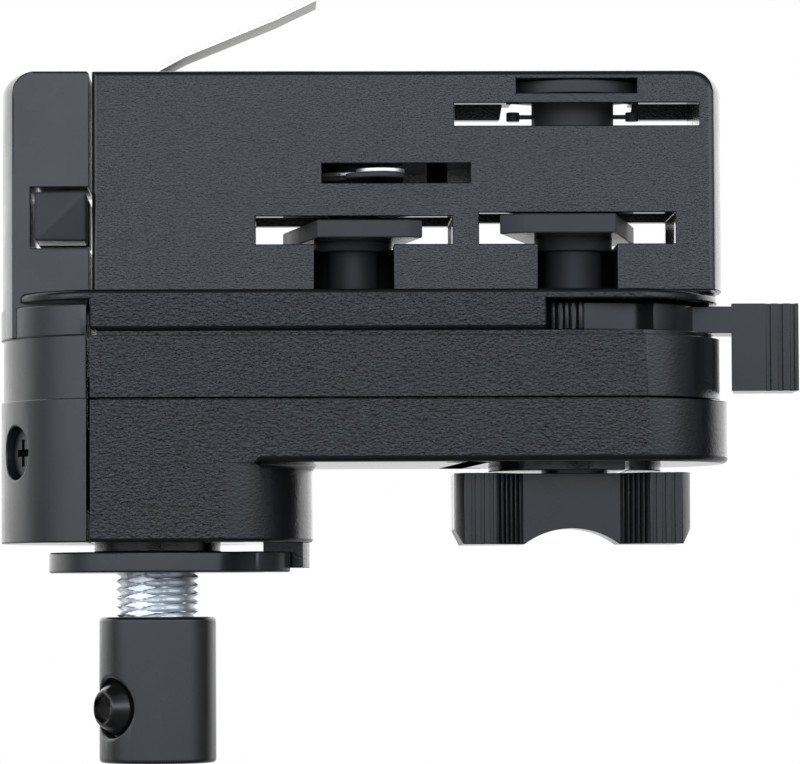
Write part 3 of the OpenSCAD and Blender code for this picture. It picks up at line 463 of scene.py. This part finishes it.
def finishes():
    """All materials by name, made on first use."""
    if "coarse_grain" in bpy.data.materials:
        return bpy.data.materials
    look = bpy.context.scene.adapter_finish
    groups = {"grain": make_grain_group(), "haze": make_haze_group(), "plate": make_plate_group()}
    coarse = (look.coarse_cell, look.grain_stretch, look.coarse_depth)
    fine = (look.fine_cell, look.grain_stretch, look.fine_depth)
    smooth = (0.15 * MM, 1.0, 0.006 * MM)
    make_plastic("coarse_grain", groups, look.housing_colour, coarse, (6 * MM, 0.13, 0.19), 0.15, 0.34)
    make_plastic("fine_grain", groups, look.upper_colour, fine, (8 * MM, 0.17, 0.24), 0.1, 0.46)
    make_plastic("satin", groups, look.satin_colour, smooth, (9 * MM, 0.22, 0.3), 0.08)
    make_plastic("dark_satin", groups, look.dark_colour, smooth, (7 * MM, 0.22, 0.3), 0.1, 0.38)
    make_plastic("matt", groups, look.matt_colour, smooth, (5 * MM, 0.5, 0.6), 0.1, 0.3)
    make_plastic("gloss", groups, look.gloss_colour, smooth, (3 * MM, 0.14, 0.22), 0.1)
    make_plastic("ivory", groups, (0.72, 0.71, 0.66), smooth, (4 * MM, 0.35, 0.45), 0.05)
    make_metal(
        "zinc", groups, (0.9, 0.92, 0.94), (0.74, 0.77, 0.8), 1.5 * MM, (2 * MM, 0.32, 0.45), 0.002 * MM)
    make_metal(
        "nickel", groups, (0.86, 0.84, 0.79), (0.72, 0.7, 0.65), 3 * MM, (3 * MM, 0.18, 0.28), 0.001 * MM)
    # Near-black metal: a black-oxide finish, darkened further as painted shade inside the deep screw holes
    make_metal(
        "black_steel", groups, (0.008, 0.008, 0.009), (0.004, 0.004, 0.005), 2 * MM,
        (2 * MM, 0.45, 0.55), 0.002 * MM)
    make_metal(
        "brass", groups, (0.86, 0.68, 0.34), (0.7, 0.52, 0.24), 2 * MM, (2 * MM, 0.25, 0.36), 0.002 * MM)
    return bpy.data.materials


def plain_mesh(obj):
    """Puts the evaluated mesh in place of the object's modifiers."""
    bpy.context.view_layer.update()
    graph = bpy.context.evaluated_depsgraph_get()
    mesh = bpy.data.meshes.new_from_object(obj.evaluated_get(graph))
    obj.modifiers.clear()
    obj.data = mesh


def add_piece(name, mesh, node, finish):
    """Shows the mesh in place of a CAD node, on that node's body."""
    piece = bpy.data.objects.new(name, mesh)
    bpy.context.scene.collection.objects.link(piece)
    mesh.materials.clear()
    mesh.materials.append(finishes()[finish])
    place_piece(piece, node)
    return piece


def place_piece(piece, node):
    """Puts a piece on the body of the CAD node that it stands for, and hides that node."""
    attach(piece, frame["nodes"][node]["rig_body"])
    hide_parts(node)


def at_level(vert, axis, level):
    return abs(vert.co[axis] - level * MM) < LEVEL_SLACK


def sharp_edges(bm):
    return [e for e in bm.edges if e.is_manifold and e.calc_face_angle() > SHARP]


def level_edges(bm, axis, level):
    """Sharp edges at one level of an axis, or those on the piece's outline away from its parting."""
    if axis is not None:
        return [e for e in sharp_edges(bm) if all(at_level(v, axis, level) for v in e.verts)]
    outer = set()
    for face in bm.faces:
        rim = face.normal.dot(face.verts[0].co) + LEVEL_SLACK
        if all(face.normal.dot(v.co) < rim for v in bm.verts):
            outer.add(face)
    return [
        e for e in sharp_edges(bm)
        if outer.issuperset(e.link_faces) and all(abs(v.co.y) > MM for v in e.verts)]


def around_hole(edge):
    """Whether the edge is on the rim of a hole, where the facets beside it turn inwards."""
    def upright(line):
        return abs((line.verts[1].co - line.verts[0].co).normalized().z) > UPRIGHT

    return not upright(edge) and any(
        upright(beside) and not beside.is_convex and beside.calc_face_angle(0) > HOLE_BEND
        for vert in edge.verts for beside in vert.link_edges)


def round_edges(bm, edges, width, profile=ROUND_PROFILE):
    bmesh.ops.bevel(
        bm, geom=edges, offset=width * MM, offset_type="OFFSET", segments=ROUND_STEPS, profile=profile,
        affect="EDGES", clamp_overlap=False)


def before_start(node, edge):
    """Whether the edge reaches the part of a level that is left sharp."""
    return any(
        piece == node and at_level(v, Z, level) and v.co.x < start * MM - LEVEL_SLACK
        for (piece, level), (start, _) in ROUNDED_FROM.items() for v in edge.verts)


def rounded_copy(node, finish, width, levels):
    """Adds a copy of a CAD node with its outer edges rounded, and its inner corners where they are filled."""
    bm = bmesh.new()
    bm.from_mesh(frame["nodes"][node].data)
    bmesh.ops.remove_doubles(bm, verts=bm.verts, dist=SAME_POINT)
    bmesh.ops.dissolve_limit(bm, angle_limit=FLAT_BEND, verts=bm.verts, edges=bm.edges)
    for (axis, level), wide in levels.items():
        if (node, level) in ROUNDED_FROM:
            start, last = (place * MM for place in ROUNDED_FROM[node, level])
            across = [
                f for f in bm.faces
                if abs(f.normal.y) > PLANE or f.normal.z < -PLANE and at_level(f.verts[0], axis, level)]
            edges = dict.fromkeys(e for f in across for e in f.edges)
            verts = dict.fromkeys(v for f in across for v in f.verts)
            bmesh.ops.bisect_plane(
                bm, geom=[*verts, *edges, *across], plane_co=(start, 0, 0), plane_no=(1, 0, 0))
            inner = [
                e for e in level_edges(bm, axis, level)
                if not e.is_convex and all(start - LEVEL_SLACK < v.co.x < last for v in e.verts)]
            round_edges(bm, inner, wide)
        outer = [
            e for e in level_edges(bm, axis, level)
            if e.is_convex and not around_hole(e) and not before_start(node, e)]
        round_edges(bm, outer, wide, OUTLINE_PROFILE if axis is None else ROUND_PROFILE)
    round_edges(bm, [e for e in sharp_edges(bm) if e.is_convex and not before_start(node, e)], width)
    bmesh.ops.remove_doubles(bm, verts=bm.verts, dist=SAME_POINT)
    for edge in bm.edges:
        edge.smooth = edge.calc_face_angle(0) < CREASE
    for face in bm.faces:
        face.smooth = True
    mesh = bpy.data.meshes.new(f"moulded_{node}")
    bm.to_mesh(mesh)
    bm.free()
    piece = add_piece(mesh.name, mesh, node, finish)
    weighted = piece.modifiers.new("weighted", "WEIGHTED_NORMAL")
    weighted.keep_sharp = True
    plain_mesh(piece)


def round_all(pieces):
    for node, (finish, width, levels) in pieces.items():
        rounded_copy(node, finish, width, levels)


def wrapped_grid(tree, sides, rows, radius_of, height_of, flip):
    """A grid wrapped round the Z axis: radius_of and height_of take the turn and the rise, both 0 to 1."""
    grid = node_of(
        tree, "GeometryNodeMeshGrid",
        **{"Size X": 1.0, "Size Y": 1.0, "Vertices X": sides, "Vertices Y": rows})
    part = split(tree, tree.nodes.new("GeometryNodeInputPosition").outputs[0])
    turn = maths(tree, "ADD", part[0], 0.5)
    rise = maths(tree, "ADD", part[1], 0.5)
    angle = maths(tree, "MULTIPLY", turn, 2 * pi)
    height = height_of(turn, rise)
    radius = radius_of(turn, rise, height)
    place = node_of(
        tree, "ShaderNodeCombineXYZ", X=maths(tree, "MULTIPLY", radius, maths(tree, "COSINE", angle)),
        Y=maths(tree, "MULTIPLY", radius, maths(tree, "SINE", angle)), Z=height).outputs[0]
    mesh = node_of(tree, "GeometryNodeSetPosition", Geometry=grid.outputs["Mesh"], Position=place).outputs[0]
    if flip:
        mesh = node_of(tree, "GeometryNodeFlipFaces", i0=mesh).outputs[0]
    return mesh


def finished(tree, geometry, given, out):
    """Ends a geometry tree with real geometry in its material."""
    real = node_of(tree, "GeometryNodeRealizeInstances", Geometry=geometry).outputs[0]
    painted = node_of(tree, "GeometryNodeSetMaterial", Geometry=real, Material=given["Material"]).outputs[0]
    tree.links.new(painted, out["Geometry"])
    return tree


def make_thread_tree():
    """A hollow threaded rod round the Z axis, with a flat milled into part of its thread."""
    tree, given, out = new_group(
        "Threaded Stem", "GeometryNodeTree",
        [("Geometry", "NodeSocketGeometry", None), ("Radius", "NodeSocketFloat", 5 * MM),
         ("Bore", "NodeSocketFloat", 3.6 * MM), ("Pitch", "NodeSocketFloat", 1 * MM),
         ("Depth", "NodeSocketFloat", 0.6 * MM), ("Foot", "NodeSocketFloat", 0.0),
         ("Top", "NodeSocketFloat", 0.02), ("Flat Foot", "NodeSocketFloat", 0.0),
         ("Flat Top", "NodeSocketFloat", 0.0), ("Flat Depth", "NodeSocketFloat", 0.45 * MM),
         ("Flat Turn", "NodeSocketFloat", 0.0), ("Sides", "NodeSocketInt", 96),
         ("Rows", "NodeSocketInt", 200), ("Material", "NodeSocketMaterial", None)],
        [("Geometry", "NodeSocketGeometry")])
    core = maths(tree, "SUBTRACT", given["Radius"], given["Depth"])

    def along(turn, rise):
        length = maths(tree, "SUBTRACT", given["Top"], given["Foot"])
        return maths(tree, "MULTIPLY_ADD", length, rise, given["Foot"])

    def thread(turn, rise, height):
        turns = maths(tree, "DIVIDE", height, given["Pitch"])
        wave = maths(tree, "FRACT", maths(tree, "SUBTRACT", turns, turn))
        ridge = maths(tree, "ABSOLUTE", maths(tree, "MULTIPLY_ADD", wave, 2.0, -1.0))
        crest = mapped(tree, ridge, CREST)
        ends = maths(
            tree, "MINIMUM", maths(tree, "SUBTRACT", height, given["Foot"]),
            maths(tree, "SUBTRACT", given["Top"], height))
        runout = maths(tree, "DIVIDE", ends, given["Depth"], clamp=True)
        full = maths(tree, "MULTIPLY_ADD", maths(tree, "MULTIPLY", crest, runout), given["Depth"], core)
        facing = maths(
            tree, "COSINE",
            maths(tree, "SUBTRACT", maths(tree, "MULTIPLY", turn, 2 * pi),
                  maths(tree, "SUBTRACT", 1.5 * pi, given["Flat Turn"])))
        level = maths(tree, "SUBTRACT", given["Radius"], given["Flat Depth"])
        cut = maths(tree, "DIVIDE", level, maths(tree, "MAXIMUM", facing, LEAST_FACING))
        inside = maths(
            tree, "MULTIPLY", maths(tree, "GREATER_THAN", height, given["Flat Foot"]),
            maths(tree, "LESS_THAN", height, given["Flat Top"]))
        off = maths(tree, "MULTIPLY", maths(tree, "SUBTRACT", 1.0, inside), given["Radius"])
        return maths(tree, "MINIMUM", full, maths(tree, "ADD", cut, off))

    def at(height):
        return lambda turn, rise: height

    def across(turn, rise, height):
        return maths(tree, "MULTIPLY_ADD", maths(tree, "SUBTRACT", core, given["Bore"]), rise, given["Bore"])

    def bore(turn, rise, height):
        return given["Bore"]

    sides = given["Sides"]
    parts = [
        wrapped_grid(tree, sides, given["Rows"], thread, along, False),
        wrapped_grid(tree, sides, given["Rows"], bore, along, True),
        wrapped_grid(tree, sides, 2, across, at(given["Top"]), True),
        wrapped_grid(tree, sides, 2, across, at(given["Foot"]), False),
    ]
    joined = tree.nodes.new("GeometryNodeJoinGeometry")
    for part in parts:
        tree.links.new(part, joined.inputs[0])
    closed = node_of(
        tree, "GeometryNodeMergeByDistance", Geometry=joined.outputs[0], Distance=SAME_POINT).outputs[0]
    return finished(tree, closed, given, out)


def make_coil_tree():
    """A round-wire coil along the Y axis."""
    tree, given, out = new_group(
        "Catch Coil", "GeometryNodeTree",
        [("Geometry", "NodeSocketGeometry", None), ("Radius", "NodeSocketFloat", 1.4 * MM),
         ("Wire", "NodeSocketFloat", 0.25 * MM), ("Length", "NodeSocketFloat", 9 * MM),
         ("Turns", "NodeSocketFloat", 6.0), ("Middle", "NodeSocketVector", (0, 0, 0)),
         ("Material", "NodeSocketMaterial", None)],
        [("Geometry", "NodeSocketGeometry")])
    path = node_of(
        tree, "GeometryNodeCurveSpiral", Resolution=COIL_STEPS, Rotations=given["Turns"],
        Height=given["Length"], **{"Start Radius": given["Radius"], "End Radius": given["Radius"]}).outputs[0]
    wire = node_of(
        tree, "GeometryNodeCurvePrimitiveCircle", Resolution=WIRE_SIDES, Radius=given["Wire"]).outputs[0]
    swept = node_of(
        tree, "GeometryNodeCurveToMesh", Curve=path, **{"Profile Curve": wire, "Fill Caps": True}).outputs[0]
    half = maths(tree, "MULTIPLY", given["Length"], -0.5)
    centred = node_of(
        tree, "GeometryNodeTransform", Geometry=swept,
        Translation=node_of(tree, "ShaderNodeCombineXYZ", Z=half).outputs[0]).outputs[0]
    turned = node_of(
        tree, "GeometryNodeTransform", Geometry=centred, Rotation=(pi / 2, 0, 0),
        Translation=given["Middle"]).outputs[0]
    return finished(tree, turned, given, out)


def grown_piece(name, node, tree, finish, **inputs):
    """Adds a piece made by a geometry tree in place of a CAD node."""
    piece = bpy.data.objects.new(name, bpy.data.meshes.new(name))
    bpy.context.scene.collection.objects.link(piece)
    modifier = piece.modifiers.new("rule", "NODES")
    modifier.node_group = tree
    inputs["Material"] = finishes()[finish]
    for item in tree.interface.items_tree:
        if item.in_out == "INPUT" and item.name in inputs:
            modifier[item.identifier] = inputs[item.name]
    plain_mesh(piece)
    if not piece.data.polygons:
        raise RuntimeError(f"{name} came out empty")
    piece.data.shade_smooth()
    piece.data.set_sharp_from_angle(angle=THREAD_CREASE)
    place_piece(piece, node)


class ADAPTER_OT_housings(bpy.types.Operator):
    """Round and finish the contact housing, the lower housings and the end cap"""

    bl_idname = "adapter.housings"
    bl_label = "Housings"

    def execute(self, context):
        round_all(HOUSING_PIECES)
        return {"FINISHED"}


class ADAPTER_OT_lock(bpy.types.Operator):
    """Round and finish the lever, the wings and their gear"""

    bl_idname = "adapter.lock"
    bl_label = "Lock"

    def execute(self, context):
        round_all(LOCK_PIECES)
        return {"FINISHED"}


class ADAPTER_OT_selector(bpy.types.Operator):
    """Round and finish the phase selector"""

    bl_idname = "adapter.selector"
    bl_label = "Phase Selector"

    def execute(self, context):
        round_all(SELECTOR_PIECES)
        return {"FINISHED"}


class ADAPTER_OT_contacts(bpy.types.Operator):
    """Round and finish the earth spring and the neutral contact"""

    bl_idname = "adapter.contacts"
    bl_label = "Contacts"

    def execute(self, context):
        round_all(CONTACT_PIECES)
        return {"FINISHED"}


class ADAPTER_OT_catches(bpy.types.Operator):
    """Round and finish the catches, and wind the coil between them"""

    bl_idname = "adapter.catches"
    bl_label = "Catches"

    def execute(self, context):
        round_all(CATCH_PIECES)
        sizes = context.scene.adapter_thread
        low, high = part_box("catch_spring")
        wire = sizes.coil_wire
        grown_piece(
            "coiled_catch_spring", "catch_spring", make_coil_tree(), "zinc",
            Radius=(high.x - low.x) / 2 - wire, Wire=wire, Length=high.y - low.y - 2 * wire,
            Turns=sizes.coil_turns, Middle=(low + high) / 2)
        return {"FINISHED"}


class ADAPTER_OT_stem(bpy.types.Operator):
    """Cut the stem's thread, and finish the washer, the cord grip and its screw"""

    bl_idname = "adapter.stem"
    bl_label = "Stem"

    def execute(self, context):
        round_all(STEM_PIECES)
        sizes = context.scene.adapter_thread
        low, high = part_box("stem")
        rows = round((high.z - low.z) / sizes.pitch * sizes.steps)
        bore = next(m["dims"]["r_mm"] for m in frame["record"]["mounts"] if m["name"] == BORE_MOUNT)
        grown_piece(
            "threaded_stem", "stem", make_thread_tree(), "zinc",
            Radius=high.x, Bore=bore * MM, Pitch=sizes.pitch,
            Depth=sizes.depth, Foot=low.z, Top=high.z, Sides=sizes.sides, Rows=rows,
            **{"Flat Foot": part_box("cord_grip")[1].z, "Flat Top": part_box("stop_washer")[0].z,
               "Flat Depth": sizes.flat_depth, "Flat Turn": sizes.flat_turn})
        return {"FINISHED"}


class ADAPTER_OT_fittings(bpy.types.Operator):
    """Finish the screws, the shaft, the nut and the terminals"""

    bl_idname = "adapter.fittings"
    bl_label = "Fittings"

    def execute(self, context):
        for node, finish in BARE_NODES.items():
            mesh = frame["nodes"][node].data
            mesh.materials.clear()
            mesh.materials.append(finishes()[finish])
        return {"FINISHED"}


def add_lamp(name, place, aim, size, power):
    lamp = bpy.data.lights.new(name, "AREA")
    lamp.shape = "RECTANGLE"
    lamp.size, lamp.size_y = size
    lamp.energy = power
    holder = bpy.data.objects.new(name, lamp)
    holder.visible_glossy = False
    holder.location = place
    holder.rotation_euler = (Vector(aim) - Vector(place)).to_track_quat("-Z", "Y").to_euler()
    bpy.context.scene.collection.objects.link(holder)


def make_world():
    """White behind the part, dark at its sides, a lit wall in front, and plain white to the camera."""
    world = bpy.data.worlds.new("studio")
    world.use_nodes = True
    tree = world.node_tree
    ground = next(n for n in tree.nodes if n.type == "BACKGROUND")
    way = split(tree, tree.nodes.new("ShaderNodeTexCoord").outputs["Generated"])

    def halved(value):
        return maths(tree, "MULTIPLY_ADD", value, 0.5, 0.5)

    front = ramp_of(tree, halved(way[2]), FRONT_LEVELS, WALL_TINT)
    side = (SIDE_LEVEL, SIDE_LEVEL, SIDE_LEVEL, 1)
    round_it = mix_of(tree, ramp_of(tree, halved(way[1]), FRONT_REACH), side, front)
    behind = mapped(tree, maths(tree, "MULTIPLY_ADD", way[0], BACK_LEAN, way[1]), BACK_EDGE)
    lit = mix_of(tree, behind, round_it, ramp_of(tree, halved(way[2]), BACK_LEVELS))
    seen = tree.nodes.new("ShaderNodeLightPath").outputs["Is Camera Ray"]
    tree.links.new(mix_of(tree, seen, lit, WHITE), ground.inputs["Color"])
    bpy.context.scene.world = world


def make_floor(level):
    """A pale round floor under the hung part."""
    bm = bmesh.new()
    bmesh.ops.create_circle(bm, cap_ends=True, segments=FLOOR_SIDES, radius=FLOOR_RADIUS)
    mesh = bpy.data.meshes.new("floor")
    bm.to_mesh(mesh)
    bm.free()
    mesh.transform(Matrix.Translation((FLOOR_MIDDLE_X, 0, level)))
    floor = bpy.data.objects.new("floor", mesh)
    bpy.context.scene.collection.objects.link(floor)
    material, tree, shader, place = new_material("pale_floor")
    tree.links.new(ramp_of(tree, noise(tree, place, 6.0, 3.0), FLOOR_TONES), shader.inputs["Base Color"])
    shader.inputs["Roughness"].default_value = FLOOR_ROUGHNESS
    mesh.materials.append(material)
    floor.visible_glossy = False


class ADAPTER_OT_stage(bpy.types.Operator):
    """Set the floor, the light and the camera of the photograph"""

    bl_idname = "adapter.stage"
    bl_label = "Stage"

    def execute(self, context):
        stage = context.scene.adapter_stage
        aim = Vector(stage.aim)
        make_world()
        make_floor(CAD_BOX[0].z - stage.floor_drop)
        for name, (place, size, power) in LAMPS.items():
            add_lamp(name, place, aim, size, power)
        lens = bpy.data.cameras.new("camera")
        lens.sensor_width = SENSOR_MM
        lens.lens = stage.focal
        lens.clip_start = NEAR_CLIP
        camera = bpy.data.objects.new("camera", lens)
        eye = Vector(stage.eye)
        look = (aim - eye).to_track_quat("-Z", "Y").to_matrix().to_4x4()
        camera.matrix_world = Matrix.Translation(eye) @ look @ Matrix.Rotation(stage.roll, 4, "Z")
        context.scene.collection.objects.link(camera)
        context.scene.camera = camera
        context.scene.view_settings.view_transform = "Standard"
        return {"FINISHED"}


class ADAPTER_PT_panel(bpy.types.Panel):
    """Lists the steps that dress the adapter"""

    bl_idname = "ADAPTER_PT_panel"
    bl_label = "Track Light Adapter"
    bl_space_type = "VIEW_3D"
    bl_region_type = "UI"
    bl_category = "Adapter"

    def draw(self, context):
        for group in ("adapter_finish", "adapter_thread", "adapter_stage"):
            box = self.layout.box()
            settings = getattr(context.scene, group)
            for name in settings.__annotations__:
                box.prop(settings, name)
        for operator in OPERATORS:
            self.layout.operator(operator.bl_idname)


OPERATORS = (
    ADAPTER_OT_stage, ADAPTER_OT_housings, ADAPTER_OT_lock, ADAPTER_OT_selector, ADAPTER_OT_contacts,
    ADAPTER_OT_catches, ADAPTER_OT_stem, ADAPTER_OT_fittings,
)
GROUPS = {
    "adapter_finish": AdapterFinish,
    "adapter_thread": AdapterThread,
    "adapter_stage": AdapterStage,
}
CLASSES = (*GROUPS.values(), *OPERATORS, ADAPTER_PT_panel)


def register():
    for made in CLASSES:
        bpy.utils.register_class(made)
    for name, group in GROUPS.items():
        setattr(bpy.types.Scene, name, PointerProperty(type=group))


def unregister():
    for name in GROUPS:
        delattr(bpy.types.Scene, name)
    for made in reversed(CLASSES):
        bpy.utils.unregister_class(made)


def main():
    register()
    bpy.ops.adapter.stage()
    bpy.ops.adapter.housings()
    bpy.ops.adapter.lock()
    bpy.ops.adapter.selector()
    bpy.ops.adapter.contacts()
    bpy.ops.adapter.catches()
    bpy.ops.adapter.stem()
    bpy.ops.adapter.fittings()


if __name__ == "__main__":
    main()
